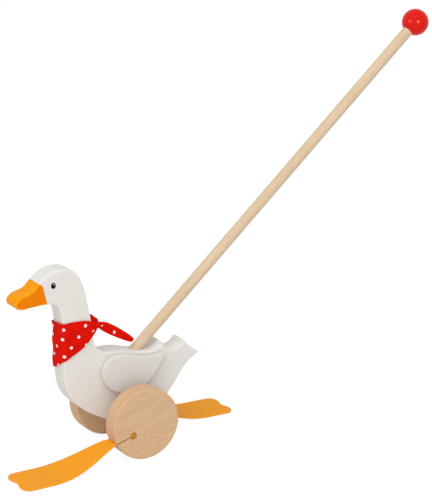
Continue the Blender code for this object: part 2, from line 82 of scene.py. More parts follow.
# Above this height the line runs forwards, by this much per square millimetre.
BEAK_BEND_HEIGHT = 156.5
BEAK_BEND = 0.17
EYE_CENTRE = (85.9, 156.4)
EYE_RADII = (2.8, 3.3)
EYE_BLUR = 0.08
# A painted highlight in each eye.
CATCHLIGHT_OFFSET = (-0.7, 1.3)
CATCHLIGHT_RADIUS = 0.65
CATCHLIGHT_BLUR = 0.4
# The brushed end of the beak's paint: size and depth of its waves, how it sets in, and how far it runs down.
BEAK_WAVE_SIZE = 3 * MM
BEAK_WAVE = 0.6 * MM
BEAK_SET_IN = (0.15 * MM, 0.5 * MM)
BEAK_RUN_DOWN = (5 * MM, 4 * MM)
# The plank's round edge, and where the painted highlight along it ends short of the flat side.
PLANK_EDGE = 2.6 * MM
EDGE_HIGHLIGHT_END = (0.05 * MM, 0.3 * MM)
BEAK_HIGHLIGHT_SHARE = 0.5

# Wood: the fibres' share in its tone, the flecks' darkness, and how the grain turns on each piece.
FIBRE_SHARE = 0.6
FLECK_SHADE = 0.72
WHEEL_GRAIN = (0, math.radians(200), 0)
STICK_GRAIN = (0, math.radians(221.5), 0)
AXLE_GRAIN = (0, 0, math.radians(90))

# Rubber feet
BEAD_RADIUS = 3.8 * MM
BEAD_EDGE = 0.4 * MM
WEB_THICKNESS = 1 * MM
SLOT_SLOPE = math.radians(-16.3)
ROOT_RECESS = 1.2 * MM
FLAP_THICKNESS = 2.4 * MM
FLAP_LENGTH = 117 * MM
FLAP_ROOT_HALF_WIDTH = 9.7 * MM
FLAP_HALF_WIDTH = 24.8 * MM
FLAP_FLARE_SHARE = 0.72
FLAP_LEAN = 1.5 * MM
FLAP_NOTCH = 2.6 * MM
FLAP_NOTCH_SHARE = 0.5
FLAP_CORNER = 10 * MM
FLAP_CORNER_SHARE = 0.45
FLAP_SETTLE_RUN = 80 * MM
FLAP_SLOT_HANDLE = 25 * MM
FLAP_FLOOR_HANDLE = 35 * MM
FLAP_LIFT = 0.3 * MM
FLAP_SWELL_RUN = 4 * MM
# Steps of a foot's mesh; those in degrees come closer together towards 90.
FLAP_LINE_STEPS = 40
ACROSS_DEGREES = range(-90, 91, 6)
BEAD_DEGREES = range(-90, 75, 15)
WEB_STEPS = 12
FLAP_DEGREES = range(3, 91, 3)

# Neckerchief
CLOTH_GAP = 0.5 * MM
CLOTH_THICKNESS = 0.8 * MM
CLOTH_STEP = 0.5
CLOTH_ROWS = 40
NAPE_BELOW_KNOT = 20 * MM
# Edges in millimetres: distance round the neck from its front, left positive, then low and high,
# both from the knot.
CLOTH_EDGES = [
    (-62, -2, 3), (-56, -3, 4.5), (-49, -5.5, 5.5), (-42, -14, 6), (-33, -25, 6.5), (-18.5, -38, 6.5),
    (-9.5, -43, 6.8), (0.5, -39.5, 8), (11.5, -32.6, 9), (19, -28.6, 9.4), (30, -22.8, 9.2), (38, -17, 8.4),
    (44.5, -9.5, 6.4), (50, -4.5, 4), (54, -2.4, 2.4),
]
# Folds and finer gathers: their height, and how many lie from top to hem and from front to knot.
# The folds fade by a share towards the hem, and the gathers start at an angle, in radians.
CLOTH_FOLD = 1.2 * MM
FOLDS_DOWN = 2.2
FOLDS_ROUND = 0.9
FOLD_FADE = 0.55
CLOTH_GATHER = 1.1 * MM
GATHERS_DOWN = 3.3
GATHERS_ROUND = -0.8
GATHER_ANGLE = 1

KNOT_WRAPS = 3
KNOT_CREASE = 0.14
KNOT_TWIST = 2
KNOT_ROWS = 24
KNOT_COLUMNS = 60

# Loose ends in millimetres from the middle of the knot: x, y, z and half the width there.
LONG_TAIL = [
    (-1, 0, 0, 3.4), (-4.2, -0.3, -1.2, 3.9), (-9.7, -0.5, -4, 5.1), (-20.3, -1.3, -10.6, 5.3),
    (-32.2, -1.9, -18.1, 4.4), (-40.9, -2.3, -23.7, 3.2), (-44.7, -2.5, -25.8, 1.8),
]
SHORT_TAIL = [(0, 0, 0, 3), (2.8, -1, 4.2, 4.6), (3.7, -1.5, 6.1, 3.7), (4.5, -2, 8, 2.7), (6, -3, 12, 0.6)]
TAIL_STEPS = 48
TAIL_RING = 28
TAIL_HALF_THICKNESS = 1.3 * MM
# How boxy a loose end's section is, its crease, and the share of its length that rounds off at the tip.
TAIL_SQUARENESS = 0.7
TAIL_CREASE = 0.45
TAIL_CREASE_PLACE = 0.15
TAIL_CREASE_WIDTH = 0.22
TAIL_TIP_SHARE = 1 / 8
TAIL_TIP_WIDTH = 0.6
TAIL_START_STEPS = 3

# Spots: a staggered row pitch round the neck and down it, and where one of them sits.
SPOT_PITCH = (18.3 * MM, 20.6 * MM)
SPOT_RADIUS = 1.7 * MM
SPOT_BLUR = 0.1
SPOT_PHASE = (11.4 * MM, -7.6 * MM)
THREAD_PITCH = 0.5 * MM
# How the cloth is taken up before it shows, so that the spots lie as in the photograph: a pleat and slack
# at the front, a drawn hem, and gathers that take the cloth in, lift it and shorten it towards the knot.
PLEAT_SHIFT = 8 * MM
FRONT_SLACK = 2.6 * MM
HEM_DRAW = 1.8 * MM
KNOT_TAKE = 1.5 * MM
KNOT_RISE = 1.8 * MM
GATHER_SHARE = 1.3
# Where each of them sets in and is full, in millimetres: round the neck from its front, or up from the knot.
PLEAT_ROUND, PLEAT_UP = (30, 22), (-4, -1)
SLACK_ROUND, SLACK_UP = (8, 2), (-26, -20)
HEM_ROUND, HEM_UP = (0, 10), (-18, -26)
TAKE_ROUND, RISE_ROUND, TOP_UP = (30, 36), (28, 46), (-10, -3)
GATHER_ROUND = (40, 54)
# The first spot of each loose end from the knot's middle, and how far the row of spots drifts across it.
LONG_TAIL_SPOT = 5 * MM
SHORT_TAIL_SPOT = -1.5 * SPOT_RADIUS
TAIL_DRIFT = 6.05 * MM
TAIL_DRIFT_SHARE = 0.74
TAIL_DRIFT_POWER = 5
# Round its first spot a loose end is gathered by this share, which dies away over this run.
TAIL_GATHER = 0.8
TAIL_GATHER_RUN = 6 * MM

# Light: name, azimuth from the goose's left towards its front, elevation, watts, size and what it acts on.
LAMPS = [
    ("front_glint", 85, 19, 150, 1.6, "gloss"),
    ("left_glint", 3, 18, 150, 1.6, "gloss"),
    ("key", 45, 60, 114, 3.5, "diffuse"),
    ("side", 28, 20, 38, 2.5, "diffuse"),
]
LAMP_DISTANCE = 5
AMBIENT = 0.54
FLOOR_SIZE = 14
FLOOR_GLOW = 1.08
FLOOR_GLOW_SHARE = 0.85

# Colours, linear
FLOOR = (0.92, 0.92, 0.92, 1)
WHITE = (0.8, 0.785, 0.745)
WHITE_WARM = (0.77, 0.745, 0.7)
# The wings' white is a little darker than the body's.
WING_WHITE = (0.755, 0.735, 0.7)
WING_WARM = (0.725, 0.695, 0.655)
# White paint lighter on the round edges: a painted highlight.
WHITE_EDGE_HIGHLIGHT = (0.815, 0.8, 0.765)
# The beak: lighter on top as painted light, darker on its flat sides as painted shade.
BEAK_LIT_TOP = (0.95, 0.37, 0.006)
BEAK_LIT_TOP_DEEP = (0.9, 0.3, 0.002)
BEAK_SHADED_SIDE = (0.9, 0.235, 0.002)
BEAK_SHADED_SIDE_DEEP = (0.85, 0.195, 0.001)
# A painted highlight along the beak's edges.
BEAK_RIM_HIGHLIGHT = (0.98, 0.43, 0.01)
EYE = (0.002, 0.002, 0.002)
# The eyes' painted highlight.
PAINTED_CATCHLIGHT = (0.9, 0.9, 0.9)
BEECH = (0.725, 0.48, 0.288)
BEECH_DEEP = (0.655, 0.415, 0.238)
DOWEL = (0.735, 0.575, 0.4)
DOWEL_DEEP = (0.67, 0.498, 0.328)
LACQUER = (0.75, 0.009, 0.001)
LACQUER_DEEP = (0.66, 0.006, 0.001)
RUBBER = (0.94, 0.375, 0.014)
RUBBER_DEEP = (0.9, 0.335, 0.01)
# Painted shade where the rubber lies inside the wheels' slots.
RUBBER_SLOT_SHADE = (0.6, 0.265, 0.035)
CLOTH = (0.8, 0.009, 0.003)
CLOTH_DEEP = (0.68, 0.005, 0.002)
SPOT = (0.95, 0.83, 0.75)

wheel_low, wheel_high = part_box("wheel_left")
AXLE = Vector(((wheel_low.x + wheel_high.x) / 2, 0, (wheel_low.z + wheel_high.z) / 2))
WHEEL_HALF = (wheel_high.y - wheel_low.y) / 2
HALF_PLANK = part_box("goose_body")[1].y
SLOT_DIRECTION = Vector((math.cos(SLOT_SLOPE), 0, math.sin(SLOT_SLOPE)))
HINGE = Vector(next(joint["pos_m"] for joint in frame["joints"] if joint["name"] == "foot_left_flex"))


def from_axle(x_mm, z_mm):
    """(x, z) in the frame of a place given in millimetres from the axle."""
    return AXLE.x + x_mm * MM, AXLE.z + z_mm * MM


class Finish:
    """A Principled material with short ways to add and join its nodes."""

    def __init__(self, name, specular, roughness=0.5):
        self.material = bpy.data.materials.new(name)
        self.material.use_nodes = True
        self.tree = self.material.node_tree
        self.shader = self.tree.nodes["Principled BSDF"]
        self.shader.inputs["Specular IOR Level"].default_value = specular
        self.shader.inputs["Roughness"].default_value = roughness

    def node(self, kind, inputs, **settings):
        """A new node; an input is given by name or number, as a value or as another node's output."""
        made = self.tree.nodes.new("ShaderNode" + kind)
        for key, value in settings.items():
            setattr(made, key, value)
        for key, value in inputs.items():
            if isinstance(value, bpy.types.NodeSocket):
                self.tree.links.new(value, made.inputs[key])
            else:
                made.inputs[key].default_value = value
        return made

    def calc(self, operation, *values):
        return self.node("Math", dict(enumerate(values)), operation=operation).outputs[0]

    def mix(self, factor, first, second):
        """Two colours mixed; the Mix node's colour sockets come after those for numbers and vectors."""
        first, second = [(*c, 1) if isinstance(c, tuple) else c for c in (first, second)]
        return self.node("Mix", {0: factor, 6: first, 7: second}, data_type="RGBA").outputs[2]

    def step(self, value, start, end):
        """0 below start, 1 above end, smooth between; the other way round where end is below start."""
        low, high = (0, 1) if start < end else (1, 0)
        inputs = {"Value": value, "To Min": low, "To Max": high}
        inputs.update({"From Min": min(start, end), "From Max": max(start, end)})
        return self.node("MapRange", inputs, interpolation_type="SMOOTHSTEP").outputs[0]

    def coords(self, output="Object"):
        return self.node("TexCoord", {}).outputs[output]

    def axes(self, vector):
        return self.node("SeparateXYZ", {0: vector}).outputs

    def noise(self, size, turn=(0, 0, 0), detail=3):
        """Noise whose features have a size in metres, one for all axes or one for each, after a turn."""
        sizes = size if isinstance(size, tuple) else (size,) * 3
        inputs = {"Vector": self.coords(), "Rotation": turn, "Scale": sizes}
        vector = self.node("Mapping", inputs, vector_type="TEXTURE").outputs[0]
        return self.node("TexNoise", {"Vector": vector, "Scale": 1, "Detail": detail}).outputs[0]

    def colour(self, socket):
        self.tree.links.new(socket, self.shader.inputs["Base Color"])

    def roughness(self, factor, low, high):
        """Roughness from low to high by a factor; the socket's own value is their middle."""
        rough = self.node("MapRange", {"Value": factor, "To Min": low, "To Max": high}).outputs[0]
        self.shader.inputs["Roughness"].default_value = (low + high) / 2
        self.tree.links.new(rough, self.shader.inputs["Roughness"])

    def bump(self, height, depth, strength=1):
        inputs = {"Height": height, "Distance": depth, "Strength": strength}
        self.tree.links.new(self.node("Bump", inputs).outputs[0], self.shader.inputs["Normal"])


def beak_mask(finish, x, z):
    """1 on the beak, with a brushed edge at the line where the paint ends."""
    low_x, low_z = from_axle(*BEAK_LINE_LOW)
    run = Vector(BEAK_LINE_HIGH) - Vector(BEAK_LINE_LOW)
    ahead = Vector((run.y, -run.x)).normalized()
    along_x = finish.calc("MULTIPLY", finish.calc("SUBTRACT", x, low_x), ahead.x)
    along_z = finish.calc("MULTIPLY", finish.calc("SUBTRACT", z, low_z), ahead.y)
    wave = finish.calc("MULTIPLY", finish.noise(BEAK_WAVE_SIZE), BEAK_WAVE)
    rise = finish.calc("MAXIMUM", finish.calc("SUBTRACT", z, from_axle(0, BEAK_BEND_HEIGHT)[1]), 0)
    bend = finish.calc("MULTIPLY", finish.calc("MULTIPLY", rise, rise), BEAK_BEND / MM)
    along = finish.calc("SUBTRACT", finish.calc("ADD", along_x, along_z), bend)
    past = finish.step(finish.calc("ADD", along, wave), *BEAK_SET_IN)
    above = finish.step(z, low_z - BEAK_RUN_DOWN[0], low_z - BEAK_RUN_DOWN[1])
    return finish.calc("MULTIPLY", past, above)


def oval_mask(finish, x, z, centre, radii, blur):
    """1 inside an upright oval on both flat sides of the plank."""
    centre_x, centre_z = from_axle(*centre)
    across = finish.calc("DIVIDE", finish.calc("SUBTRACT", x, centre_x), radii[0] * MM)
    up = finish.calc("DIVIDE", finish.calc("SUBTRACT", z, centre_z), radii[1] * MM)
    square = finish.calc("ADD", finish.calc("MULTIPLY", across, across), finish.calc("MULTIPLY", up, up))
    return finish.step(square, 1 + blur, 1 - blur)


def beak_paint(finish, edge_highlight, shaded_side):
    """Brushed orange: painted light on top, painted shade on the sides, a painted highlight on the edges."""
    stroke = finish.step(finish.noise((9 * MM, 3 * MM, 2.5 * MM), detail=4), start=0.3, end=0.7)
    deep = finish.mix(shaded_side, BEAK_LIT_TOP_DEEP, BEAK_SHADED_SIDE_DEEP)
    orange = finish.mix(stroke, deep, finish.mix(shaded_side, BEAK_LIT_TOP, BEAK_SHADED_SIDE))
    # A painted highlight along the beak's round edges.
    return finish.mix(finish.calc("MULTIPLY", edge_highlight, BEAK_HIGHLIGHT_SHARE), orange, BEAK_RIM_HIGHLIGHT)


def face_paint(finish, colour):
    """A colour with a painted highlight on the plank's round edges, and the beak and eyes painted on."""
    x, y, z = finish.axes(finish.coords())
    depth = finish.calc("ABSOLUTE", y)
    edge_middle = HALF_PLANK - PLANK_EDGE / 2
    into_edge = finish.step(depth, HALF_PLANK - PLANK_EDGE, edge_middle)
    short_of_side = finish.step(depth, HALF_PLANK - EDGE_HIGHLIGHT_END[0], HALF_PLANK - EDGE_HIGHLIGHT_END[1])
    # A painted highlight along the round edges, short of the flat sides.
    edge_highlight = finish.calc("MULTIPLY", into_edge, short_of_side)
    # Painted shade on the beak's flat sides.
    shaded_side = finish.step(depth, edge_middle, HALF_PLANK)
    colour = finish.mix(edge_highlight, colour, WHITE_EDGE_HIGHLIGHT)
    colour = finish.mix(beak_mask(finish, x, z), colour, beak_paint(finish, edge_highlight, shaded_side))
    colour = finish.mix(oval_mask(finish, x, z, EYE_CENTRE, EYE_RADII, EYE_BLUR), colour, EYE)
    # A painted highlight in each eye, at the same place on both sides.
    glint = (EYE_CENTRE[0] + CATCHLIGHT_OFFSET[0], EYE_CENTRE[1] + CATCHLIGHT_OFFSET[1])
    glint_mask = oval_mask(finish, x, z, glint, (CATCHLIGHT_RADIUS,) * 2, CATCHLIGHT_BLUR)
    return finish.mix(glint_mask, colour, PAINTED_CATCHLIGHT)


def goose_paint(name, white, warm, has_face):
    """Satin off-white brushed over wood, with the face where the piece has one."""
    finish = Finish(name, specular=0.045)
    grain = finish.noise((40 * MM, 1.6 * MM, 1.6 * MM), detail=4)
    cloud = finish.noise(28 * MM)
    colour = finish.mix(cloud, warm, white)
    finish.colour(face_paint(finish, colour) if has_face else colour)
    finish.roughness(cloud, low=0.36, high=0.5)
    finish.bump(grain, depth=0.03 * MM)
    return finish.material


def wood(name, pale, deep, grain, flecks, depth):
    """Beech: faint bands, fine fibres and short darker flecks that run with the grain.

    The flecks show by their share, and the bump has that depth.
    """
    finish = Finish(name, specular=0.15)
    band = finish.noise((70 * MM, 9 * MM, 9 * MM), grain, detail=2)
    fibre = finish.noise((16 * MM, 0.9 * MM, 0.9 * MM), grain)
    dash = finish.noise((3.2 * MM, 0.55 * MM, 0.8 * MM), grain, detail=1)
    fleck = finish.step(dash, start=0.6, end=0.72)
    bands = finish.calc("MULTIPLY", band, 1 - FIBRE_SHARE)
    fibres = finish.calc("MULTIPLY", fibre, FIBRE_SHARE)
    tone = finish.step(finish.calc("ADD", bands, fibres), start=0.36, end=0.64)
    shade = tuple(channel * FLECK_SHADE for channel in deep)
    finish.colour(finish.mix(finish.calc("MULTIPLY", fleck, flecks), finish.mix(tone, deep, pale), shade))
    finish.roughness(fibre, low=0.42, high=0.6)
    finish.bump(finish.calc("SUBTRACT", fibre, fleck), depth)
    return finish.material


def lacquer():
    """Gloss red lacquer with a faint ripple."""
    finish = Finish("red_lacquer", specular=0.13)
    cloud = finish.noise(9 * MM)
    finish.colour(finish.mix(cloud, LACQUER_DEEP, LACQUER))
    finish.roughness(cloud, low=0.17, high=0.19)
    finish.bump(finish.noise(12 * MM, detail=1), depth=0.004 * MM)
    return finish.material


def rubber():
    """Moulded orange rubber: matt, slightly mottled, finely pebbled, with painted shade inside the slot."""
    finish = Finish("orange_rubber", specular=0.12)
    cloud = finish.noise(20 * MM, detail=4)
    along = finish.axes(finish.coords("UV"))[0]
    # Painted shade where the rubber lies inside the wheel's slot.
    slot_shade = finish.step(along, -FLAP_SWELL_RUN / 4, -FLAP_SWELL_RUN)
    finish.colour(finish.mix(slot_shade, finish.mix(cloud, RUBBER_DEEP, RUBBER), RUBBER_SLOT_SHADE))
    finish.roughness(cloud, low=0.5, high=0.65)
    finish.bump(finish.noise(0.6 * MM, detail=2), depth=0.05 * MM)
    return finish.material


def spot_distance(finish, flat, stagger):
    """Distance to the nearest point of a plain grid, moved by a share of its pitch both ways."""
    phase = [start + stagger * pitch for start, pitch in zip(SPOT_PHASE, SPOT_PITCH)]
    away = finish.node("VectorMath", {0: flat, 1: (*phase, 0)}, operation="SUBTRACT").outputs[0]
    half = [pitch / 2 for pitch in SPOT_PITCH]
    inputs = {0: away, 1: (*half, 1), 2: (-half[0], -half[1], -1)}
    within = finish.node("VectorMath", inputs, operation="WRAP").outputs[0]
    return finish.node("VectorMath", {0: within}, operation="LENGTH").outputs["Value"]


def spotted_cloth():
    """Red cotton: white spots on a staggered grid in the cloth's own flat coordinates, and a plain weave."""
    finish = Finish("red_cloth", specular=0.04, roughness=0.85)
    flat = finish.coords("UV")
    nearest = finish.calc("MINIMUM", spot_distance(finish, flat, 0), spot_distance(finish, flat, 0.5))
    spot = finish.step(nearest, SPOT_RADIUS * (1 + SPOT_BLUR), SPOT_RADIUS * (1 - SPOT_BLUR))
    u, v, _ = finish.axes(flat)
    warp = finish.calc("SINE", finish.calc("MULTIPLY", u, 2 * math.pi / THREAD_PITCH))
    weft = finish.calc("SINE", finish.calc("MULTIPLY", v, 2 * math.pi / THREAD_PITCH))
    cloud = finish.noise(6 * MM, detail=4)
    finish.colour(finish.mix(spot, finish.mix(cloud, CLOTH_DEEP, CLOTH), SPOT))
    finish.bump(finish.calc("MULTIPLY", warp, weft), depth=0.05 * MM, strength=0.6)
    return finish.material


def smooth_node(node, material):
    """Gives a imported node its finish, and shades its facets as the smooth faces that they stand for."""
    mesh = node.data
    mesh.attributes.remove(mesh.attributes["custom_normal"])
    mesh.shade_smooth()
    mesh.materials.clear()
    mesh.materials.append(material)
    node.modifiers.new("join", "WELD").merge_threshold = JOIN_DISTANCE
    node.modifiers.new("creases", "EDGE_SPLIT").split_angle = CREASE_ANGLE
    node.modifiers.new("normals", "WEIGHTED_NORMAL")


def add_piece(name, mesh, material):
    piece = bpy.data.objects.new(name, mesh)
    bpy.context.scene.collection.objects.link(piece)
    mesh.materials.append(material)
    mesh.shade_smooth()
    return piece


def grid_mesh(name, uvs, *grids):
    """Quads through grids of points that share their borders, with the flat place of each point as its UV."""
    bm = bmesh.new()
    layer = bm.loops.layers.uv.new("flat")
    for grid in grids:
        verts = [[bm.verts.new(place) for place in row] for row in grid]
        for i in range(len(verts) - 1):
            for j in range(len(verts[0]) - 1):
                corners = [(i, j), (i, j + 1), (i + 1, j + 1), (i + 1, j)]
                face = bm.faces.new([verts[a][b] for a, b in corners])
                for loop, (a, b) in zip(face.loops, corners):
                    loop[layer].uv = uvs[a][b]
    bmesh.ops.remove_doubles(bm, verts=bm.verts, dist=JOIN_DISTANCE)
    bmesh.ops.dissolve_degenerate(bm, edges=bm.edges, dist=SHORTEST_EDGE)
    # Where two grids meet in a corner, its point goes, so that no two faces lie back to back.
    corners = [vert for vert in bm.verts if len(vert.link_edges) == len(vert.link_faces) == 2]
    bmesh.ops.dissolve_verts(bm, verts=corners)
    bmesh.ops.recalc_face_normals(bm, faces=bm.faces)
    mesh = bpy.data.meshes.new(name)
    bm.to_mesh(mesh)
    bm.free()
    return mesh


def through(points, place):
    """Smooth values through (position, value...) rows, read at a position."""
    last = len(points) - 1
    index = max(i for i in range(last) if points[i][0] <= place or i == 0)
    p1, p2 = points[index], points[index + 1]
    p0, p3 = points[max(index - 1, 0)], points[min(index + 2, last)]
    span = p2[0] - p1[0]
    t = (place - p1[0]) / span
    values = []
    for a, b, c, d in zip(p0[1:], p1[1:], p2[1:], p3[1:]):
        rise_1 = (c - a) / (p2[0] - p0[0]) * span
        rise_2 = (d - b) / (p3[0] - p1[0]) * span
        values.append(
            b * (2 * t ** 3 - 3 * t * t + 1) + rise_1 * (t ** 3 - 2 * t * t + t)
            + c * (3 * t * t - 2 * t ** 3) + rise_2 * (t ** 3 - t * t)
        )
    return values


def flap_line():
    """Points (x, z) from the hinge along the flap's middle, easing from the slot's slope onto the floor."""
    floor = FLAP_LIFT + FLAP_THICKNESS / 2 - HINGE.z
    first = Vector((SLOT_DIRECTION.x, SLOT_DIRECTION.z)) * FLAP_SLOT_HANDLE
    end = Vector((FLAP_SETTLE_RUN, floor))
    second = end - Vector((FLAP_FLOOR_HANDLE, 0))
    points = []
    for index in range(FLAP_LINE_STEPS + 1):
        t = index / FLAP_LINE_STEPS
        left = 1 - t
        points.append(first * 3 * t * left ** 2 + second * 3 * t * t * left + end * t ** 3)
    points.append(Vector((end.x + FLAP_LENGTH, floor)))
    return points


def along_foot(line, distance):
    """Place (x, z) and direction on the foot's middle line; inside the slot it is straight."""
    if distance <= 0:
        direction = Vector((SLOT_DIRECTION.x, SLOT_DIRECTION.z))
        return direction * distance, direction
    left = distance
    for first, second in zip(line, line[1:]):
        step = (second - first).length
        if left <= step or second is line[-1]:
            direction = (second - first).normalized()
            return first + direction * left, direction
        left -= step


def foot_half_width(distance):
    """Half the foot's width: inside the wheel's faces in the slot, then flaring to the webbed toes."""
    outside = max(distance, 0)
    inside = WHEEL_HALF - ROOT_RECESS
    root = inside + (FLAP_ROOT_HALF_WIDTH - inside) * min(outside / FLAP_SWELL_RUN, 1)
    flare = math.sin(min(outside / (FLAP_FLARE_SHARE * FLAP_LENGTH), 1) * math.pi / 2)
    return root + (FLAP_HALF_WIDTH - root) * flare


def foot_reach(across):
    """Length of the flap at a place across it, from -1 to 1: round outer corners and one shallow notch."""
    into_corner = max(abs(across) - 1 + FLAP_CORNER_SHARE, 0) / FLAP_CORNER_SHARE
    corner = FLAP_CORNER * (1 - math.sqrt(max(1 - into_corner ** 2, 0)))
    notch = FLAP_NOTCH * math.cos(min(abs(across) / FLAP_NOTCH_SHARE, 1) * math.pi / 2) ** 2
    return FLAP_LENGTH - corner - notch


def foot_half_thickness(distance, bead):
    """Half the foot's thickness: the bead's circle, the web in the slot, then the thicker flap."""
    swell = min(max(distance / FLAP_SWELL_RUN + 0.5, 0), 1)
    half = (WEB_THICKNESS + (FLAP_THICKNESS - WEB_THICKNESS) * swell * swell * (3 - 2 * swell)) / 2
    circle = math.sqrt(max(BEAD_RADIUS ** 2 - (distance - bead) ** 2, 0))
    return circle if distance < bead else max(half, circle)


def foot_distances(bead, across):
    """Distances from the bead's far side to the tip, at a place across: closer where the foot is rounder."""
    circle = [bead + BEAD_RADIUS * math.sin(math.radians(angle)) for angle in BEAD_DEGREES]
    web_run = FLAP_SWELL_RUN - circle[-1]
    web = [circle[-1] + web_run * index / WEB_STEPS for index in range(1, WEB_STEPS + 1)]
    flap_run = foot_reach(across) - FLAP_SWELL_RUN
    flap = [FLAP_SWELL_RUN + flap_run * math.sin(math.radians(angle)) for angle in FLAP_DEGREES]
    return circle + web + flap


def round_over(inside, radius):
    """Share of the thickness that is left at a distance inside a round edge."""
    return math.sqrt(1 - (1 - min(max(inside / radius, 0), 1)) ** 2)


def foot_mesh(name, lean):
    """One rubber foot at the left wheel: bead, web and flap as one moulding with round edges."""
    root_low, root_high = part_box("foot_left_root")
    bead = -Vector((HINGE.x - root_low.x - BEAD_RADIUS, root_high.z - BEAD_RADIUS - HINGE.z)).length
    line = flap_line()
    edge = FLAP_THICKNESS / 2
    top, bottom, uvs = [], [], []
    for angle in ACROSS_DEGREES:
        across = math.sin(math.radians(angle))
        upper, under, flat = [], [], []
        for distance in foot_distances(bead, across):
            half = foot_half_width(distance)
            place, direction = along_foot(line, distance)
            y = across * half + lean * (max(distance, 0) / FLAP_LENGTH) ** 2
            rim = BEAD_EDGE if distance < -FLAP_SWELL_RUN else edge
            thick = foot_half_thickness(distance, bead) * round_over((1 - abs(across)) * half, rim)
            thick *= round_over(foot_reach(across) - distance, edge)
            out = Vector((-direction.y, direction.x)) * thick
            upper.append(HINGE + Vector((place.x + out.x, y, place.y + out.y)))
            under.append(HINGE + Vector((place.x - out.x, y, place.y - out.y)))
            flat.append((distance, y))
        top.append(upper)
        bottom.append(under)
        uvs.append(flat)
    return grid_mesh(name, uvs, top, bottom)


def make_feet(material):
    """Both rubber feet, leaning to the goose's left; the right one is turned half round the axle's middle."""
    turn = Matrix.Translation(AXLE) @ Matrix.Rotation(math.pi, 4, "Z") @ Matrix.Translation(-AXLE)
    for side, lean, place in (("left", FLAP_LEAN, Matrix.Identity(4)), ("right", -FLAP_LEAN, turn)):
        name = "rubber_foot_" + side
        mesh = foot_mesh(name, lean)
        mesh.transform(place)
        foot = add_piece(name, mesh, material)
        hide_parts(f"foot_{side}_root", f"foot_{side}_flap")
        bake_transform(foot)


def neck_section(tree, z, nape):
    """Where the neck's front and back are at a height; below the nape, the back is where it is there."""
    ahead = Vector((1, 0, 0))
    front = tree.ray_cast(Vector((0, 0, z)) + ahead, -ahead)[0].x
    back = tree.ray_cast(Vector((0, 0, max(z, nape))) - ahead, ahead)[0].x
    return front, back


def round_neck(section, distance, z, lift):
    """A point that far round the neck from the middle of its front, standing off the wood by lift."""
    front, back = section[0] - PLANK_EDGE, section[1] + PLANK_EDGE
    side = HALF_PLANK - PLANK_EDGE
    corners = [Vector((front, 0)), Vector((front, side)), Vector((back, side)), Vector((back, -side))]
    quarter = math.pi / 2 * PLANK_EDGE
    left = abs(distance)
    for first, second in zip(corners, corners[1:]):
        run = (second - first).length
        along = (second - first).normalized()
        out = Vector((along.y, -along.x))
        if left <= run + quarter or second is corners[-1]:
            bend = min(max(left - run, 0) / quarter, 1) * math.pi / 2
            place = first + along * min(left, run)
            place += (out * math.cos(bend) + along * math.sin(bend)) * (PLANK_EDGE + lift)
            return Vector((place.x, math.copysign(place.y, distance), z))
        left -= run + quarter


def cloth_point(section, distance, z, lift, knot):
    """Round the neck, but straight on from the end of its left side into the knot."""
    front, back = section
    quarter = math.pi / 2 * PLANK_EDGE
    side_end = HALF_PLANK - PLANK_EDGE + quarter + front - back - 2 * PLANK_EDGE
    place = round_neck(section, min(distance, side_end), z, lift)
    past = max(distance - side_end, 0)
    if past:
        into = min(past / (place.x - knot.x), 1)
        place.x -= past
        place.y += (knot.y - place.y) * into * into
    return place


def cloth_lift(distance, down):
    """How far the cloth stands off the wood: folds that fade towards its ends and hem, and gathers there."""
    first, last = CLOTH_EDGES[0][0], CLOTH_EDGES[-1][0]
    share = (distance - first) / (last - first)
    from_middle = abs(2 * share - 1)
    fold = (1 + math.cos(2 * math.pi * (FOLDS_DOWN * down + FOLDS_ROUND * from_middle))) / 2
    gather_turn = 2 * math.pi * (GATHERS_DOWN * down + GATHERS_ROUND * from_middle) + GATHER_ANGLE
    gather = (1 + math.sin(gather_turn)) / 2
    fade = math.sin(math.pi * share) * (1 - FOLD_FADE * down)
    return CLOTH_GAP + CLOTH_FOLD * fade * fold + CLOTH_GATHER * gather * from_middle ** 3


def ramp(value, span):
    """0 before a span's start and 1 past its end, both in millimetres, straight between."""
    start, end = span
    return min(max((value / MM - start) / (end - start), 0), 1)


def cloth_flat(length, height):
    """Place on the flat cloth of a point that far round the neck and above the knot."""
    pleat = PLEAT_SHIFT * ramp(height, PLEAT_UP) * ramp(length, PLEAT_ROUND)
    slack = FRONT_SLACK * ramp(length, SLACK_ROUND) * ramp(height, SLACK_UP)
    hem = HEM_DRAW * ramp(length, HEM_ROUND) * ramp(height, HEM_UP)
    take = KNOT_TAKE * ramp(height, TOP_UP) * ramp(length, TAKE_ROUND)
    rise = KNOT_RISE * ramp(height, TOP_UP) * ramp(length, RISE_ROUND)
    gather = 1 + GATHER_SHARE * ramp(length, GATHER_ROUND)
    return length + pleat + slack + take - hem, height * gather - rise - hem


def neckerchief_mesh(name, knot):
    """The cloth round the neck, as rows from its top edge to its hem.

    Its UVs are lengths along each row with the folds smoothed out, and heights from the knot.
    """
    tree = BVHTree.FromObject(frame["nodes"]["goose_body"], bpy.context.evaluated_depsgraph_get())
    first, last = CLOTH_EDGES[0][0], CLOTH_EDGES[-1][0]
    columns = [first + CLOTH_STEP * index for index in range(round((last - first) / CLOTH_STEP) + 1)]
    front = columns.index(0)
    grid, uvs = [], []
    for row in range(CLOTH_ROWS + 1):
        down = row / CLOTH_ROWS
        line, smooth, heights, lengths = [], [], [], [0]
        for distance in columns:
            low, high = through(CLOTH_EDGES, distance)
            heights.append((high + (low - high) * down) * MM)
            z = knot.z + heights[-1]
            section = neck_section(tree, z, knot.z - NAPE_BELOW_KNOT)
            line.append(cloth_point(section, distance * MM, z, cloth_lift(distance, down), knot))
            smooth.append(cloth_point(section, distance * MM, z, CLOTH_GAP + CLOTH_FOLD / 2, knot))
        for before, after in zip(smooth, smooth[1:]):
            lengths.append(lengths[-1] + (after - before).xy.length)
        grid.append(line)
        uvs.append([cloth_flat(length - lengths[front], height) for length, height in zip(lengths, heights)])
    return grid_mesh(name, uvs, grid)


